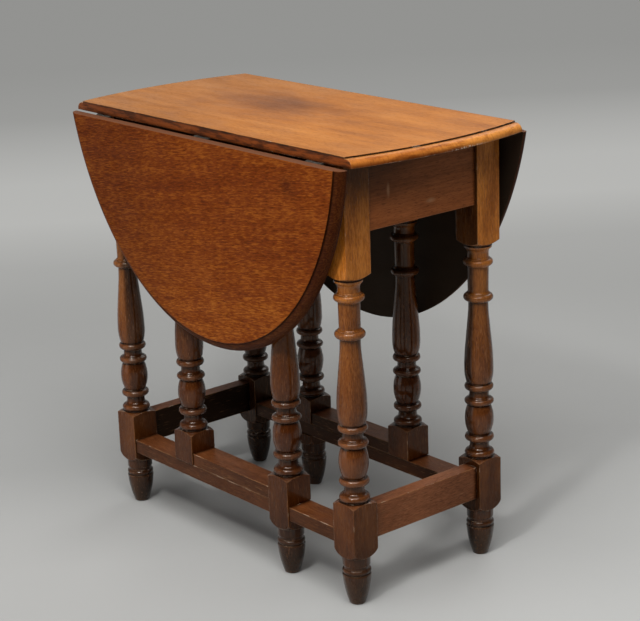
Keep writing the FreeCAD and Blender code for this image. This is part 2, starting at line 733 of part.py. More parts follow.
hinge_screw = screw("hinge_screw", "screw_diameter", "screw_head", "screw_length")
top_screw = screw("top_screw", "top_screw_diameter", "top_screw_head", "top_screw_length")
block = glue_block("glue_block")
hang = 90 + number("leaf_lean")

for turned, side, right, left in ((0, "front", "right", "left"), (180, "back", "left", "right")):
    for label, inward, x in ((f"leg_{side}_{right}", -1, leg_x), (f"leg_{side}_{left}", 1, f"-{leg_x}")):
        piece = corner_leg(label, inward)
        place(piece, x, f"-{leg_y}", "0", turned)
        pieces.append(piece)

    length = "(leg_spacing_cross - leg_square)"
    piece = rail(f"end_apron_{right}", "XZ_Plane", length, "end_apron_thickness", "apron_depth")
    x = f"{leg_x} + {leg_half} - end_apron_setback - end_apron_thickness / 2"
    place(piece, x, "0", f"{underside} - apron_depth / 2", turned)
    pieces.append(piece)
    piece = rail(f"end_stretcher_{right}", "XZ_Plane", length, "end_stretcher_thickness", "end_stretcher_depth")
    x = f"{leg_x} + {leg_half} - end_stretcher_setback - end_stretcher_thickness / 2"
    place(piece, x, "0", "end_stretcher_rise + end_stretcher_depth / 2", turned)
    pieces.append(piece)

    piece = side_apron(f"side_apron_{side}")
    place(piece, "0", f"-{leg_y}", f"{underside} - apron_depth / 2", turned)
    pieces.append(piece)
    piece = side_stretcher(f"side_stretcher_{side}")
    place(piece, "0", f"-{leg_y}", "side_stretcher_rise + side_stretcher_thickness / 2", turned)
    pieces.append(piece)

    piece = gate_post(f"gate_post_{side}")
    place(piece, "-post_offset", f"-{leg_y}", post_bottom, turned)
    pieces.append(piece)
    piece = gate_leg(f"gate_leg_{side}")
    place(piece, "gate_leg_offset", f"-{leg_y}", "0", turned)
    pieces.append(piece)
    length = "(post_offset + gate_leg_offset - leg_square)"
    x = "(gate_leg_offset - post_offset) / 2"
    piece = rail(f"gate_upper_rail_{side}", "YZ_Plane", length, "upper_rail_thickness", "upper_rail_depth")
    place(piece, x, f"-{leg_y}", f"{upper_rail_top} - upper_rail_depth / 2", turned)
    pieces.append(piece)
    piece = rail(f"gate_lower_rail_{side}", "YZ_Plane", length, "lower_rail_width", "lower_rail_depth", flat=True)
    place(piece, x, f"-{leg_y}", lower_rail_middle, turned)
    pieces.append(piece)

    piece = leaf(f"leaf_{side}", f"{side}_reach")
    place(piece, "0", f"-{pin_line}", pin_height, turned, hang)
    pieces.append(piece)
    for hinge_x, spot in zip(hinge_places, (left, "middle", right)):
        piece = top_flap(f"hinge_top_flap_{side}_{spot}")
        place(piece, hinge_x, f"-{pin_line}", pin_height, turned)
        pieces.append(piece)
        piece = hinge_pin(f"hinge_pin_{side}_{spot}")
        place(piece, hinge_x, f"-{pin_line}", pin_height, turned)
        pieces.append(piece)
        piece = leaf_flap(f"hinge_leaf_flap_{side}_{spot}")
        place(piece, hinge_x, f"-{pin_line}", pin_height, turned, hang)
        pieces.append(piece)
    for name, sign, roll in (("top", "", 0), ("leaf", "-", hang)):
        spots = []
        for hinge_x in hinge_places:
            for along, out in flap_screws():
                spots.append((f"{hinge_x} + {along}", f"{sign}{out}", flap_level, 0))
        piece = group(f"hinge_screws_{name}_{side}", hinge_screw, spots)
        place(piece, "0", f"-{pin_line}", pin_height, turned, roll)
        pieces.append(piece)

spots = [(x, y, underside, turned) for x, y, turned in glue_blocks]
pieces.append(group("glue_blocks", block, spots))
spots = [(x, y, f"{underside} - glue_block_square", turned) for x, y, turned in glue_blocks]
pieces.append(group("top_screws", top_screw, spots))

doc.recompute()
for item in doc.Objects:
    if "Invalid" in item.State or "Error" in item.State:
        raise RuntimeError(f"{item.Name} failed: {item.State}")
for piece in pieces:
    if piece.Shape.isNull() or not piece.Shape.isValid():
        raise RuntimeError(f"{piece.Label} has no valid shape")
os.makedirs("parts", exist_ok=True)
for piece in pieces:
    piece.Shape.exportStep(f"parts/{piece.Label}.step")
print(len(pieces), "pieces")
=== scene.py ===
import math

import bpy
from mathutils import Matrix, Vector

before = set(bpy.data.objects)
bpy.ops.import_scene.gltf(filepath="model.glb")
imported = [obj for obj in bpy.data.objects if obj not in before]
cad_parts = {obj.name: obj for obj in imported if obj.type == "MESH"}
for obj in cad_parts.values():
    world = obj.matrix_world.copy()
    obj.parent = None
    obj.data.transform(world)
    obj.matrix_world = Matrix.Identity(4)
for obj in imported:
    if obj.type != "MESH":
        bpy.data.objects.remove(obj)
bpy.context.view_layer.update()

# Lengths are in metres. At rest each piece's own coordinates are those of the whole table.
table_height = 0.72
pin_from_middle = 0.17585
pin_height = 0.70165
leaf_lean = math.radians(2.4)
leaf_grain_tilt = math.radians(9.0)
# Square to a hanging leaf, from its hinge pin to just short of its raised field.
pin_to_rim = 0.0178
# The same place, measured from a plane through the origin that is parallel to the leaf.
rim_depth = pin_from_middle * math.cos(leaf_lean) - pin_height * math.sin(leaf_lean) + pin_to_rim
rim_fade = 0.001
arris_radius = 0.0022
# Middle and reach of the two scuffs on the apron that the photograph shows.
apron_scuffs = (
    ((0.3115, -0.069, 0.650), (0.05, 0.005, 0.016)),
    ((0.3115, 0.016, 0.619), (0.05, 0.014, 0.006)),
)

# Dark, middle and light tone of each stain, and the values of the figure at which they lie.
tone_places = (0.28, 0.5, 0.72)
top_tones = ((0.361, 0.113, 0.0166), (0.513, 0.177, 0.0304), (0.637, 0.240, 0.049))
leaf_tones = ((0.155, 0.028, 0.0028), (0.268, 0.057, 0.0048), (0.47, 0.145, 0.018))
upright_tones = ((0.26, 0.070, 0.010), (0.43, 0.132, 0.022), (0.58, 0.200, 0.042))
gate_tones = ((0.165, 0.040, 0.0045), (0.265, 0.074, 0.0105), (0.35, 0.112, 0.021))
apron_tones = ((0.20, 0.052, 0.012), (0.31, 0.086, 0.020), (0.42, 0.125, 0.034))
long_tones = ((0.085, 0.024, 0.007), (0.135, 0.040, 0.011), (0.205, 0.066, 0.021))
cross_tones = ((0.11, 0.034, 0.012), (0.175, 0.056, 0.020), (0.26, 0.090, 0.036))
pine_tones = ((0.34, 0.20, 0.09), (0.45, 0.28, 0.13), (0.55, 0.36, 0.18))

# Tones of single places.
# Painted shade: nearly black, for inner faces and undersides that lie in shade.
inner_shade_tone = (0.034, 0.024, 0.016)
worn_top = (0.66, 0.32, 0.12)
worn_leaf = (0.36, 0.12, 0.035)
worn_oak = (0.42, 0.19, 0.075)
worn_rail = (0.46, 0.24, 0.11)
worn_pine = (0.60, 0.42, 0.24)
pale_chip = (0.55, 0.40, 0.28)
# Pale crests of turned rings: wear to bare wood, with a painted highlight.
worn_crest_highlight_tone = (0.32, 0.19, 0.12)
moulding_tone = (0.86, 0.33, 0.06)
flake_tone = (0.90, 0.74, 0.58)
# Painted shade for the leaf's hinge edge, in the gap below the top.
hinge_edge_shade_tone = (0.16, 0.066, 0.034)
scuff_tone = (0.45, 0.24, 0.12)
warm_gloss = (1.0, 0.72, 0.48, 1.0)

# Factors of red, green and blue by which a stain changes the colour below it.
pore_stain = (0.45, 0.36, 0.30)
# Grime, and painted shade, in hollows, in corners and close to other parts.
grime_and_shade_stain = (0.10, 0.07, 0.06)
rust_stain = (0.5, 0.4, 0.3)
# Height on a leg or post, and the stain's factors there.
upright_stains = (
    (0.03, (0.095, 0.11, 0.20)),
    (0.08, (0.17, 0.15, 0.20)),
    (0.12, (0.26, 0.22, 0.17)),
    (0.24, (0.30, 0.26, 0.31)),
    (0.36, (0.43, 0.40, 0.37)),
    (0.48, (0.64, 0.63, 0.53)),
    (0.54, (1.24, 1.26, 1.00)),
)


def fill(tree, node, inputs):
    """Set or link a node's inputs, by name or as i0, i1 by place."""
    for key, value in inputs.items():
        socket = node.inputs[int(key[1:]) if key[1:].isdigit() else key]
        if isinstance(value, bpy.types.NodeSocket):
            tree.links.new(value, socket)
        else:
            socket.default_value = value


def add(tree, kind, options=None, **inputs):
    """Add a shader node, set its options and fill its inputs."""
    node = tree.nodes.new(kind)
    for key, value in (options or {}).items():
        setattr(node, key, value)
    fill(tree, node, inputs)
    return node


def math_node(tree, operation, first, second=0.0):
    """Result of a calculation with two numbers."""
    return add(tree, "ShaderNodeMath", {"operation": operation}, i0=first, i1=second).outputs[0]


def combined(tree, operation, values):
    """Values taken together two at a time, from the first on."""
    result = values[0]
    for value in values[1:]:
        result = math_node(tree, operation, result, value)
    return result


def product(tree, *values):
    """Values multiplied together."""
    return combined(tree, "MULTIPLY", values)


def total(tree, *values):
    """Values added together."""
    return combined(tree, "ADD", values)


def largest(tree, *values):
    """Largest of the values."""
    return combined(tree, "MAXIMUM", values)


def vector_math(tree, operation, first, second=(0.0, 0.0, 0.0), result="Vector"):
    """Result of a calculation with one or two vectors."""
    options = {"operation": operation}
    return add(tree, "ShaderNodeVectorMath", options, i0=first, i1=second).outputs[result]


def scaled(tree, vector, scales):
    """A vector with its X, Y and Z times a scale each."""
    return vector_math(tree, "MULTIPLY", vector, scales)


def dot(tree, first, second):
    """Dot product of two vectors."""
    return vector_math(tree, "DOT_PRODUCT", first, second, "Value")


def length_of(tree, vector):
    """Length of a vector."""
    return vector_math(tree, "LENGTH", vector, result="Value")


def parts_of(tree, vector):
    """The X, Y and Z of a vector."""
    return add(tree, "ShaderNodeSeparateXYZ", None, i0=vector).outputs


def noise(tree, vector, detail=3.0, roughness=0.55, distortion=0.0):
    """Fractal noise with features about one unit wide."""
    inputs = {"Scale": 1.0, "Detail": detail, "Roughness": roughness, "Distortion": distortion}
    return add(tree, "ShaderNodeTexNoise", None, Vector=vector, **inputs).outputs[0]


def spread(tree, value, low, high, to_low=0.0, to_high=1.0, eased=True):
    """Map a range of values to another."""
    options = {"interpolation_type": "SMOOTHSTEP" if eased else "LINEAR"}
    inputs = {"i0": value, "i1": low, "i2": high, "i3": to_low, "i4": to_high}
    return add(tree, "ShaderNodeMapRange", options, **inputs).outputs[0]


def swing(tree, value, amount):
    """A noise value's distance from its middle, times an amount."""
    return product(tree, math_node(tree, "SUBTRACT", value, 0.5), amount)


def ramp(tree, value, stops):
    """Colours along a value."""
    node = add(tree, "ShaderNodeValToRGB", None, i0=value)
    elements = node.color_ramp.elements
    while len(elements) < len(stops):
        elements.new(0.5)
    for element, (place, colour) in zip(elements, stops):
        element.position = place
        element.color = (*colour, 1.0)
    return node.outputs[0]


def mix(tree, blend, amount, first, second):
    """Two colours mixed."""
    colours = []
    for value in (first, second):
        colours.append(value if isinstance(value, bpy.types.NodeSocket) else (*value, 1.0))
    options = {"data_type": "RGBA", "blend_type": blend}
    return add(tree, "ShaderNodeMix", options, i0=amount, i6=colours[0], i7=colours[1]).outputs[2]


def stain(tree, colour, mask, factors):
    """A colour times factors where a mask is 1."""
    return mix(tree, "MULTIPLY", mask, colour, factors)


def cover(tree, colour, mask, tone):
    """A colour that gives way to a tone where a mask is 1."""
    return mix(tree, "MIX", mask, colour, tone)


def openness(tree, distance, **options):
    """How open a place is: 1 where nothing lies within a distance of it."""
    options["samples"] = 8
    return add(tree, "ShaderNodeAmbientOcclusion", options, Distance=distance).outputs["AO"]


def new_material(name):
    """Material with a surface shader, and its node tree."""
    material = bpy.data.materials.new(name)
    material.use_nodes = True
    tree = material.node_tree
    tree.nodes.clear()
    shader = tree.nodes.new("ShaderNodeBsdfPrincipled")
    output = tree.nodes.new("ShaderNodeOutputMaterial")
    tree.links.new(shader.outputs[0], output.inputs[0])
    return material, tree, shader


def oak(
    name,
    grain,
    tones,
    worn,
    wear=0.6,
    grime_and_shade_amount=0.8,
    grime_and_shade_reach=0.010,
    own_grime_and_shade=False,
    roughness=0.36,
    figure=1.0,
    flecks=0.0,
    fleck_size=(0.0105, 0.0017),
    cloud_size=(0.16, 0.08),
    clouding=0.6,
    scratches=0.0,
    tilt=0.0,
    specular=0.3,
    coat=0.0,
    chips=0.0,
    paint=None,
):
    """Stained oak with its grain along an axis, worn at its arrises, and darkened in its hollows by grime and
    painted shade.

    Tones are dark, middle and light. Sizes are along and across the grain. Tilt turns the grain about Y.
    Own grime and shade come only from a piece's own hollows. A coat makes turned parts glossy, wears their
    crests and paints a highlight on them.
    Paint changes the stain, and paints light and shade, from place to place.
    """
    material, tree, shader = new_material(name)
    place = add(tree, "ShaderNodeTexCoord").outputs
    coords = place["Object"]
    # Each piece is cut from another place in the wood.
    chance = add(tree, "ShaderNodeObjectInfo").outputs["Random"]
    moved = vector_math(tree, "ADD", coords, product(tree, chance, 5.0))
    if tilt:
        about_y = {"rotation_type": "Y_AXIS"}
        moved = add(tree, "ShaderNodeVectorRotate", about_y, Vector=moved, Angle=tilt).outputs[0]

    def along(length, width):
        """Coordinates in which one unit is a length along the grain and a width across it."""
        return scaled(tree, moved, [1.0 / length if axis == grain else 1.0 / width for axis in "XYZ"])

    # Figure of the wood: streaks, fibres, clouds and short flecks, then open pores and bright rays.
    streaks = noise(tree, along(0.45, 0.022), detail=5.0, roughness=0.62, distortion=0.35)
    fibres = noise(tree, along(0.06, 0.0022), roughness=0.6)
    clouds = noise(tree, along(*cloud_size))
    tone = total(
        tree,
        swing(tree, streaks, 0.62 * figure),
        swing(tree, fibres, 0.40 * figure),
        swing(tree, clouds, clouding),
    )
    if flecks:
        short = noise(tree, along(*fleck_size), detail=2.0, roughness=0.65, distortion=0.5)
        tone = total(tree, tone, swing(tree, short, flecks))
    colour = ramp(tree, total(tree, tone, 0.5), list(zip(tone_places, tones)))
    pores = noise(tree, along(0.011, 0.0014), detail=2.0, roughness=0.5)
    open_pores = spread(tree, pores, 0.53, 0.68)
    colour = stain(tree, colour, product(tree, open_pores, 0.6 * figure), pore_stain)
    rays = noise(tree, along(0.009, 0.0018), detail=1.0, roughness=0.5, distortion=0.3)
    bright_rays = product(tree, spread(tree, rays, 0.58, 0.74), 0.35 * figure)
    colour = cover(tree, colour, bright_rays, tones[2])

    if paint:
        colour = paint(tree, coords, place["Normal"], colour)
    if scratches:
        fine = noise(tree, along(0.022, 0.0016), detail=1.0, distortion=0.2)
        colour = cover(tree, colour, spread(tree, fine, 0.64, 0.73, 0.0, scratches), worn)

    # Wear at the arrises, where the rounded normal leaves the true one.
    bevel = add(tree, "ShaderNodeBevel", {"samples": 6}, Radius=arris_radius).outputs[0]
    flatness = dot(tree, add(tree, "ShaderNodeNewGeometry").outputs["Normal"], bevel)
    rubbing = noise(tree, along(0.05, 0.02), detail=4.0, roughness=0.7)
    rubbed = spread(tree, rubbing, 0.36, 0.62, 0.0, wear)
    colour = cover(tree, colour, product(tree, spread(tree, flatness, 0.99, 0.80), rubbed), worn)
    if coat:
        # A turned surface looks along none of the axes. Its crests are thin places.
        axes = parts_of(tree, vector_math(tree, "ABSOLUTE", place["Normal"]))
        turned = spread(tree, largest(tree, axes["X"], axes["Y"], axes["Z"]), 0.998, 0.985)
        thickness = openness(tree, 0.012, inside=True, only_local=True)
        # Paler crests: wear, and a painted highlight.
        worn_and_highlit_crest = product(
            tree,
            turned,
            spread(tree, thickness, 0.80, 0.45, 0.0, 0.3),
            spread(tree, rubbed, 0.0, wear, 0.4, 1.0),
        )
        colour = cover(tree, colour, worn_and_highlit_crest, worn_crest_highlight_tone)
        coating = {"Coat Weight": spread(tree, turned, 0.0, 1.0, 0.1, coat), "Coat Roughness": 0.05}
        fill(tree, shader, coating)
    # Darker where other surfaces are near: grime, and painted shade in hollows, corners, gaps and under the
    # top.
    open_air = openness(tree, grime_and_shade_reach, only_local=own_grime_and_shade)
    colour = stain(tree, colour, spread(tree, open_air, 0.95, 0.60, 0.0, grime_and_shade_amount), grime_and_shade_stain)
    if chips:
        knocks = noise(tree, scaled(tree, moved, (45.0, 45.0, 45.0)), roughness=0.6)
        knocked = spread(tree, knocks, 0.56, 0.64, 0.0, chips)
        chip = product(tree, spread(tree, flatness, 0.985, 0.90), knocked)
        colour = cover(tree, colour, chip, pale_chip)

    patches = noise(tree, along(0.07, 0.03), detail=4.0, roughness=0.65)
    rough = spread(tree, patches, 0.3, 0.7, roughness - 0.06, roughness + 0.10)
    rough = total(tree, rough, product(tree, open_pores, 0.12))
    height = math_node(tree, "SUBTRACT", product(tree, fibres, 0.5), open_pores)
    bump = add(tree, "ShaderNodeBump", None, Strength=0.22, Distance=0.0004, Height=height, Normal=bevel)
    fill(tree, shader, {"Base Color": colour, "Roughness": rough, "Normal": bump.outputs[0]})
    fill(tree, shader, {"Specular IOR Level": specular, "Specular Tint": warm_gloss})
    return material


def iron(name, bright, dark, roughness):
    """Dull iron with brown patches."""
    material, tree, shader = new_material(name)
    coords = add(tree, "ShaderNodeTexCoord").outputs["Object"]
    fine = noise(tree, scaled(tree, coords, (400.0, 400.0, 400.0)), detail=4.0)
    broad = noise(tree, scaled(tree, coords, (90.0, 90.0, 90.0)))
    colour = ramp(tree, broad, ((0.35, dark), (0.65, bright)))
    colour = stain(tree, colour, spread(tree, fine, 0.55, 0.75, 0.0, 0.5), rust_stain)
    rough = spread(tree, fine, 0.3, 0.7, roughness - 0.08, roughness + 0.1)
    bump = add(tree, "ShaderNodeBump", None, Strength=0.2, Distance=0.0002, Height=fine)
    fill(tree, shader, {"Base Color": colour, "Roughness": rough, "Normal": bump.outputs[0]})
    fill(tree, shader, {"Metallic": 0.85})
    return material


def smudge(tree, coords, centre, reach, ragged):
    """Mask of a smudge with a ragged rim, 1 at its middle. A reach of None does not bound it."""
    offset = vector_math(tree, "SUBTRACT", coords, centre)
    distance = length_of(tree, scaled(tree, offset, [1.0 / size if size else 0.0 for size in reach]))
    cloud = noise(tree, scaled(tree, coords, (18.0, 28.0, 18.0)), detail=4.0, roughness=0.6)
    return spread(tree, total(tree, distance, swing(tree, cloud, ragged)), 1.0, 0.1)


def paint_field(tree, coords, colour):
    """A purplish smudge near the middle of the top, and a painted sheen on the left part."""
    broad = smudge(tree, coords, (-0.05, 0.01, table_height), (0.30, 0.17, None), 0.9)
    colour = stain(tree, colour, product(tree, broad, 0.55), (0.72, 0.66, 0.80))
    core = smudge(tree, coords, (-0.05, 0.025, table_height), (0.15, 0.075, None), 0.8)
    colour = stain(tree, colour, product(tree, core, 0.85), (0.56, 0.58, 0.95))
    # Painted sheen: the left part less red and bluer.
    painted_sheen_left = spread(tree, parts_of(tree, coords)["X"], 0.15, -0.30)
    return stain(tree, colour, painted_sheen_left, (0.90, 0.98, 1.40))


def paint_moulding(tree, coords, moulding, colour):
    """A light moulding with stripes and patches, painted shade below, and redder towards the front leaf."""
    spot = parts_of(tree, coords)
    colour = cover(tree, colour, product(tree, moulding, 0.7), moulding_tone)
    ends = noise(tree, scaled(tree, coords, (90.0, 420.0, 90.0)), roughness=0.6)
    stripe = product(tree, moulding, spread(tree, ends, 0.46, 0.70, 0.0, 0.5))
    colour = stain(tree, colour, stripe, (0.50, 0.40, 0.34))
    blots = noise(tree, scaled(tree, coords, (40.0, 34.0, 120.0)), detail=4.0, roughness=0.7)
    patch = product(tree, moulding, spread(tree, blots, 0.46, 0.64, 0.0, 0.85))
    colour = stain(tree, colour, patch, (0.58, 0.46, 0.36))
    # Painted shade on the lower part of the moulding, less towards the back.
    low = product(
        tree,
        moulding,
        spread(tree, spot["Z"], 0.7130, 0.7060, 0.0, 0.95),
        spread(tree, spot["Y"], 0.08, 0.0, 0.45, 1.0),
    )
    colour = stain(tree, colour, low, (0.30, 0.22, 0.18))
    redder = product(tree, moulding, spread(tree, spot["Y"], 0.07, -0.06, 0.0, 0.9))
    return stain(tree, colour, redder, (0.62, 0.50, 0.42))


def paint_top(tree, coords, normal, colour):
    """Dark sides, a painted shadow line at the step, painted shade on the underside, a light moulding with
    pale flakes, a smudge near the middle and a painted sheen on the left.
    """
    axes = parts_of(tree, normal)
    spot = parts_of(tree, coords)
    end_face = math_node(tree, "ABSOLUTE", axes["X"])
    colour = paint_field(tree, coords, colour)
    colour = paint_moulding(tree, coords, spread(tree, end_face, 0.15, 0.5), colour)
    near_leaf = product(tree, spread(tree, axes["Z"], 0.9, 0.99), spread(tree, spot["Y"], -0.04, -0.15))
    colour = stain(tree, colour, near_leaf, (0.92, 0.93, 0.96))
    flaked = smudge(tree, coords, (0.36, 0.035, 0.7050), (0.06, 0.055, 0.004), 1.0)
    crumbs = noise(tree, scaled(tree, coords, (350.0, 350.0, 350.0)), detail=2.0)
    colour = cover(tree, colour, product(tree, flaked, spread(tree, crumbs, 0.50, 0.60)), flake_tone)
    # Painted shadow line along the step of the end moulding.
    step = product(tree, spread(tree, spot["Z"], 0.7168, 0.7174), spread(tree, end_face, 0.75, 0.95))
    colour = stain(tree, colour, step, (0.12, 0.10, 0.09))
    side = spread(tree, math_node(tree, "ABSOLUTE", axes["Y"]), 0.6, 0.9)
    colour = stain(tree, colour, side, (0.52, 0.34, 0.28))
    blotch = noise(tree, scaled(tree, coords, (22.0, 22.0, 140.0)), detail=4.0, roughness=0.65)
    dark = product(tree, side, spread(tree, blotch, 0.44, 0.62, 0.0, 0.9))
    colour = stain(tree, colour, dark, (0.22, 0.20, 0.24))
    arris = product(tree, side, spread(tree, spot["Z"], 0.7155, 0.7185, 0.0, 0.9))
    colour = stain(tree, colour, arris, (0.25, 0.22, 0.22))
    # Painted shade: the underside nearly black.
    return cover(tree, colour, spread(tree, axes["Z"], -0.8, -0.97, 0.0, 0.9), inner_shade_tone)


def paint_leaf(tree, coords, normal, colour):
    """Painted shade above, below the top, darker to the left, with a knot, and painted shade on the moulding,
    the hinge edge and the inner face.
    """
    axes = parts_of(tree, normal)
    spot = parts_of(tree, coords)
    # Painted shade on the upper part, below the top.
    colour = stain(tree, colour, spread(tree, spot["Z"], 0.36, 0.60), (0.75, 0.66, 0.56))
    knot = smudge(tree, coords, (0.226, 0.0, 0.664), (0.028, None, 0.030), 1.0)
    colour = stain(tree, colour, product(tree, knot, 0.7), (0.45, 0.40, 0.45))
    colour = stain(tree, colour, spread(tree, spot["X"], 0.0, -0.25, 0.0, 0.8), (0.74, 0.74, 0.78))
    depth = product(tree, math_node(tree, "ABSOLUTE", spot["Y"]), math.cos(leaf_lean))
    depth = math_node(tree, "SUBTRACT", depth, product(tree, spot["Z"], math.sin(leaf_lean)))
    below_field = spread(tree, depth, rim_depth, rim_depth - rim_fade)
    # Painted shade on the moulding beyond the raised field, fading out to the left.
    rim = product(tree, below_field, spread(tree, spot["X"], -0.28, -0.06, 0.15, 1.0))
    colour = stain(tree, colour, rim, (0.26, 0.26, 0.44))
    # Painted shade on the hinge edge, in the gap below the top.
    shaded_hinge_edge = spread(tree, axes["Z"], 0.95, 0.99, 0.0, 0.9)
    colour = cover(tree, colour, shaded_hinge_edge, hinge_edge_shade_tone)
    # Painted shade: the inner face nearly black.
    inner = spread(tree, product(tree, axes["Y"], spot["Y"]), -0.02, -0.12, 0.0, 0.92)
    return cover(tree, colour, inner, inner_shade_tone)


def outwards(tree, coords, normal, weights=(1.0, 1.0)):
    """How far a surface looks away from the middle of the table. The weights are for its X and Y."""
    level = vector_math(tree, "NORMALIZE", scaled(tree, coords, (*weights, 0.0)))
    return dot(tree, normal, level)


def darker_downwards(tree, coords, colour):
    """Stain that is darker and greyer towards the floor."""
    share = math_node(tree, "DIVIDE", parts_of(tree, coords)["Z"], table_height)
    stops = [(height / table_height, factors) for height, factors in upright_stains]
    return stain(tree, colour, 1.0, ramp(tree, share, stops))


def paint_upright(tree, coords, normal, colour):
    """Darker towards the floor; painted shadow close below the top, and painted shade on the front legs'
    right faces, low on the back legs and on inner sides.
    """
    spot = parts_of(tree, coords)
    colour = darker_downwards(tree, coords, colour)
    endwards = spread(tree, parts_of(tree, normal)["X"], 0.5, 0.95)
    # Painted shade on the front legs' right faces.
    shaded_front_ends = product(tree, endwards, spread(tree, spot["Y"], 0.0, -0.1))
    colour = stain(tree, colour, shaded_front_ends, (0.74, 0.74, 0.76))
    # Painted shade low on the back legs.
    shaded_low_back = product(tree, spread(tree, spot["Y"], 0.0, 0.1), spread(tree, spot["Z"], 0.53, 0.46))
    colour = stain(tree, colour, shaded_low_back, (0.82, 0.82, 0.76))
    # Painted shadow close below the top, strongest at the front and on end faces.
    shadow_below_top = product(
        tree,
        spread(tree, spot["Z"], 0.595, 0.69),
        spread(tree, spot["Y"], 0.10, -0.10, 0.35, 1.0),
        spread(tree, endwards, 0.0, 1.0, 0.15, 1.0),
    )
    colour = stain(tree, colour, shadow_below_top, (0.22, 0.20, 0.20))
    # Painted shade on the sides that face the middle of the table, stronger higher up and at the back.
    amount = total(
        tree,
        spread(tree, spot["Z"], 0.12, 0.50, 0.35, 0.95),
        spread(tree, spot["Y"], 0.0, 0.1, 0.0, 0.35),
    )
    amount = math_node(tree, "MINIMUM", amount, 1.0)
    inner = product(tree, spread(tree, outwards(tree, coords, normal), 0.15, -0.30), amount)
    return stain(tree, colour, inner, (0.15, 0.145, 0.17))


def paint_gate(tree, coords, normal, colour):
    """Darker towards the floor, and painted shade on the sides that face the middle of the table."""
    colour = darker_downwards(tree, coords, colour)
    # Painted shade on the inner sides, stronger higher up.
    amount = spread(tree, parts_of(tree, coords)["Z"], 0.22, 0.48, 0.15, 0.95)
    inner = product(tree, spread(tree, outwards(tree, coords, normal, (0.3, 1.0)), 0.10, -0.40), amount)
    return stain(tree, colour, inner, (0.25, 0.24, 0.26))


def paint_rail(tree, coords, normal, colour):
    """Dark fronts on the long rails, and painted shade on faces that look at the middle of the table."""
    front = spread(tree, math_node(tree, "ABSOLUTE", parts_of(tree, normal)["Y"]), 0.6, 0.9)
    colour = stain(tree, colour, front, (0.62, 0.60, 0.58))
    # Painted shade on inner faces, nearly black on the cross rails.
    inner = spread(tree, outwards(tree, coords, normal), -0.10, -0.30)
    inner_shade_stain = mix(tree, "MIX", front, (0.08, 0.09, 0.10), (0.42, 0.40, 0.40))
    return stain(tree, colour, inner, inner_shade_stain)


def paint_apron(tree, coords, normal, colour):
    """Painted shadow towards the top and the front corner, with pale scuffs and painted shade on the inner
    faces.
    """
    spot = parts_of(tree, coords)
    # Painted shadow under the top, deeper at the front corner, and lighter near the bottom.
    colour = stain(tree, colour, 1.0, spread(tree, spot["Z"], 0.60, 0.71, 1.08, 0.55))
    corner = product(tree, spread(tree, spot["Z"], 0.61, 0.68), spread(tree, spot["Y"], 0.04, -0.10))
    colour = stain(tree, colour, corner, (0.48, 0.46, 0.45))
    for centre, reach in apron_scuffs:
        scuff = smudge(tree, coords, centre, reach, 1.0)
        colour = cover(tree, colour, product(tree, scuff, 0.6), scuff_tone)
    # Painted shade: the inner faces nearly black.
    outward = product(tree, parts_of(tree, normal)["X"], spot["X"])
    return cover(tree, colour, spread(tree, outward, 0.0, -0.2, 0.0, 0.8), inner_shade_tone)


top_looks = {
    "roughness": 0.34,
    "figure": 0.8,
    "cloud_size": (0.14, 0.05),
    "chips": 0.8,
    "paint": paint_top,
}
leaf_looks = {
    "wear": 0.4,
    "roughness": 0.42,
    "figure": 0.7,
    "flecks": 1.15,
    "fleck_size": (0.014, 0.0018),
    "cloud_size": (0.05, 0.14),
    "clouding": 0.3,
    "tilt": leaf_grain_tilt,
    "specular": 0.09,
    "paint": paint_leaf,
}
upright_looks = {
    "wear": 0.75,
    "grime_and_shade_amount": 1.0,
    "grime_and_shade_reach": 0.024,
    "own_grime_and_shade": True,
    "roughness": 0.24,
    "flecks": 0.85,
    "scratches": 0.25,
    "specular": 0.2,
    "coat": 0.48,
    "chips": 0.6,
    "cloud_size": (0.12, 0.03),
    "clouding": 0.95,
}
apron_looks = {
    "wear": 0.5,
    "grime_and_shade_reach": 0.03,
    "figure": 1.15,
    "flecks": 0.6,
    "fleck_size": (0.05, 0.003),
    "paint": paint_apron,
}
rail_looks = {
    "wear": 0.9,
    "grime_and_shade_amount": 1.0,
    "grime_and_shade_reach": 0.012,
    "roughness": 0.34,
    "flecks": 0.8,
    "scratches": 0.25,
    "specular": 0.2,
    "chips": 0.9,
    "clouding": 0.9,
    "paint": paint_rail,
}
pine_looks = {"wear": 0.3, "grime_and_shade_amount": 0.4, "roughness": 0.65}
finishes = {
    "top": oak("oak_top", "X", top_tones, worn_top, **top_looks),
    "leaf": oak("oak_leaf", "X", leaf_tones, worn_leaf, **leaf_looks),
    "upright": oak("oak_upright", "Z", upright_tones, worn_oak, paint=paint_upright, **upright_looks),
    "gate": oak("oak_gate", "Z", gate_tones, worn_oak, paint=paint_gate, **upright_looks),
    "apron": oak("oak_apron", "Y", apron_tones, worn_oak, **apron_looks),
    "long": oak("oak_long", "X", long_tones, worn_rail, **rail_looks),
    "cross": oak("oak_cross", "Y", cross_tones, worn_rail, **rail_looks),
    "pine": oak("pine_blocks", "X", pine_tones, worn_pine, **pine_looks),
    "hinge": iron("hinge_iron", (0.13, 0.12, 0.105), (0.05, 0.042, 0.034), 0.55),
    "screw": iron("screw_iron", (0.38, 0.35, 0.32), (0.16, 0.13, 0.10), 0.45),
}


def finish_of(node):
    """Name of the finish of a CAD node."""
    if "screws" in node:
        return "screw"
    if node.startswith("hinge"):
        return "hinge"
    if node == "glue_blocks":
        return "pine"
    if node.startswith("top"):
        return "top"
    if node.startswith("leaf"):
        return "leaf"
    if node.startswith("end_apron"):
        return "apron"
    if node.startswith("end"):
        return "cross"
    if "rail" in node or node.startswith("side"):
        return "long"
    return "gate" if node.startswith("gate") else "upright"


for name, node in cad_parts.items():
    node.data.materials.clear()
    node.data.materials.append(finishes[finish_of(name)])

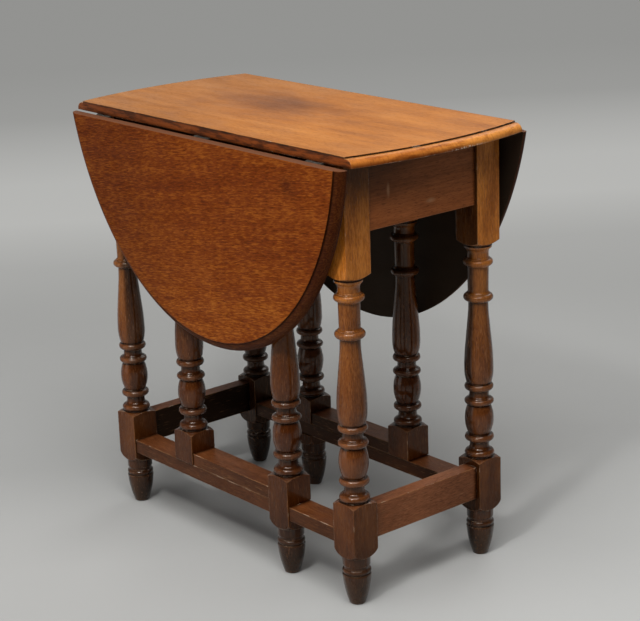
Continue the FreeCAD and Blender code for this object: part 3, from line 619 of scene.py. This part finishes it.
# Directions over the floor, along the photograph's view and to its right.
view_turn = math.radians(50.316)
forward = Vector((-math.sin(view_turn), math.cos(view_turn), 0.0))
sideways = Vector((math.cos(view_turn), math.sin(view_turn), 0.0))
# The floor's greys run a little aslant to the view.
slant = 0.11
backdrop_grey = 0.29
# Distance behind the middle of the table, and the grey there: painted light falloff over the floor.
near_greys = ((-1.0, 0.465), (-0.3, 0.465), (-0.1, 0.475), (0.35, 0.425), (0.96, 0.475), (1.8, 0.54))
far_greys = (
    (1.3, 0.37),
    (1.8, 0.39),
    (2.3, 0.47),
    (2.8, 0.46),
    (3.2, 0.415),
    (3.9, 0.325),
    (5.0, 0.295),
    (7.0, backdrop_grey),
)


def paper(grey):
    """A grey with a little less blue."""
    return (grey, grey, grey * 0.97)


def grey_ramp(tree, depth, greys):
    """Greys along the view's depth."""
    nearest, farthest = greys[0][0], greys[-1][0]
    stops = [((place - nearest) / (farthest - nearest), paper(grey)) for place, grey in greys]
    return ramp(tree, spread(tree, depth, nearest, farthest, eased=False), stops)


def seen_directly(tree):
    """1 for what the camera sees, also in a reflection or through glass."""
    path = add(tree, "ShaderNodeLightPath").outputs
    return largest(tree, path["Is Camera Ray"], path["Is Glossy Ray"], path["Is Transmission Ray"])


# Pale studio floor whose greys along the view are painted light falloff. Far from the table it shows the
# backdrop's own tone.
material, tree, shader = new_material("studio_floor")
coords = add(tree, "ShaderNodeTexCoord").outputs["Object"]
depth = dot(tree, coords, forward - slant * sideways)
# Painted light: the floor lighter to the right.
painted_light_lift = spread(tree, dot(tree, coords, sideways), 0.05, 0.45, 1.0, 1.11)
colour = stain(tree, grey_ramp(tree, depth, near_greys), 1.0, painted_light_lift)
mottle = noise(tree, scaled(tree, coords, (1.4, 1.4, 1.4)), detail=4.0)
colour = stain(tree, colour, spread(tree, mottle, 0.4, 0.7, 0.0, 0.12), (0.8, 0.8, 0.8))
fill(tree, shader, {"Base Color": colour, "Roughness": spread(tree, mottle, 0.3, 0.7, 0.72, 0.85)})
radius = length_of(tree, coords)
far_tone = grey_ramp(tree, depth, far_greys)
far_tone = cover(tree, far_tone, spread(tree, radius, 3.5, 8.0), paper(backdrop_grey))
glow = add(tree, "ShaderNodeEmission", None, Color=far_tone)
amount = product(tree, spread(tree, radius, 1.0, 1.9), seen_directly(tree))
blend = add(tree, "ShaderNodeMixShader", None, i0=amount, i1=shader.outputs[0], i2=glow.outputs[0])
tree.links.new(blend.outputs[0], tree.nodes["Material Output"].inputs[0])
# The floor lies a hair below the feet.
bpy.ops.mesh.primitive_plane_add(size=24.0, location=(0.0, 0.0, -0.0002))
floor = bpy.context.object
floor.name = "studio_floor"
floor.data.materials.append(material)

# Weak light from all round, and a grey backdrop that shows in the gloss.
world = bpy.data.worlds.new("studio")
bpy.context.scene.world = world
world.use_nodes = True
tree = world.node_tree
weak = tree.nodes["Background"]
fill(tree, weak, {"Color": (0.94, 0.97, 1.0, 1.0), "Strength": 0.03})
heading = add(tree, "ShaderNodeTexCoord").outputs["Generated"]
sheen = spread(tree, dot(tree, heading, forward), -0.2, 0.9, 0.032, 0.24)
plain = product(tree, add(tree, "ShaderNodeLightPath").outputs["Is Camera Ray"], backdrop_grey)
strength = largest(tree, sheen, plain)
backdrop = add(tree, "ShaderNodeBackground", None, Color=(*paper(1.0), 1.0), Strength=strength)
shown = seen_directly(tree)
blend = add(tree, "ShaderNodeMixShader", None, i0=shown, i1=weak.outputs[0], i2=backdrop.outputs[0])
tree.links.new(blend.outputs[0], tree.nodes["World Output"].inputs[0])


def softbox(name, place, target, size, power):
    """Square lamp that faces a target."""
    lamp = bpy.data.lights.new(name, "AREA")
    lamp.shape = "SQUARE"
    lamp.size = size
    lamp.energy = power
    holder = bpy.data.objects.new(name, lamp)
    holder.location = place
    holder.rotation_euler = (Vector(target) - Vector(place)).to_track_quat("-Z", "Y").to_euler()
    bpy.context.scene.collection.objects.link(holder)


softbox("overhead", (0.9, -1.05, 3.4), (0.0, 0.0, 0.4), 3.0, 129.0)
softbox("sparkle", (0.9, -1.8, 2.4), (0.1, 0.0, 0.4), 0.24, 19.0)
softbox("fill", (-1.2, -3.0, 0.9), (0.0, 0.0, 0.3), 2.0, 10.0)
softbox("behind", (-1.0, 2.6, 3.0), (0.0, 0.0, 0.3), 2.0, 22.0)

# Camera fitted to the photograph: turned about Z, pitched down and rolled.
focal_length = 1861.5
picture_width = 640
camera_place = (2.3021, -1.8590, 1.2796)
pitch = math.radians(16.877)
roll = math.radians(-1.968)
level = math.cos(pitch)
back = Vector((math.sin(view_turn) * level, -math.cos(view_turn) * level, math.sin(pitch)))
up = back.cross(sideways)
across = math.cos(roll) * sideways + math.sin(roll) * up
upwards = math.cos(roll) * up - math.sin(roll) * sideways
rotation = Matrix((across, upwards, back)).transposed().to_4x4()
camera = bpy.data.objects.new("camera", bpy.data.cameras.new("camera"))
camera.data.sensor_width = 36.0
camera.data.lens = focal_length / picture_width * camera.data.sensor_width
camera.data.clip_end = 100.0
camera.matrix_world = Matrix.Translation(camera_place) @ rotation
bpy.context.scene.collection.objects.link(camera)
bpy.context.scene.camera = camera
bpy.context.scene.view_settings.view_transform = "Standard"
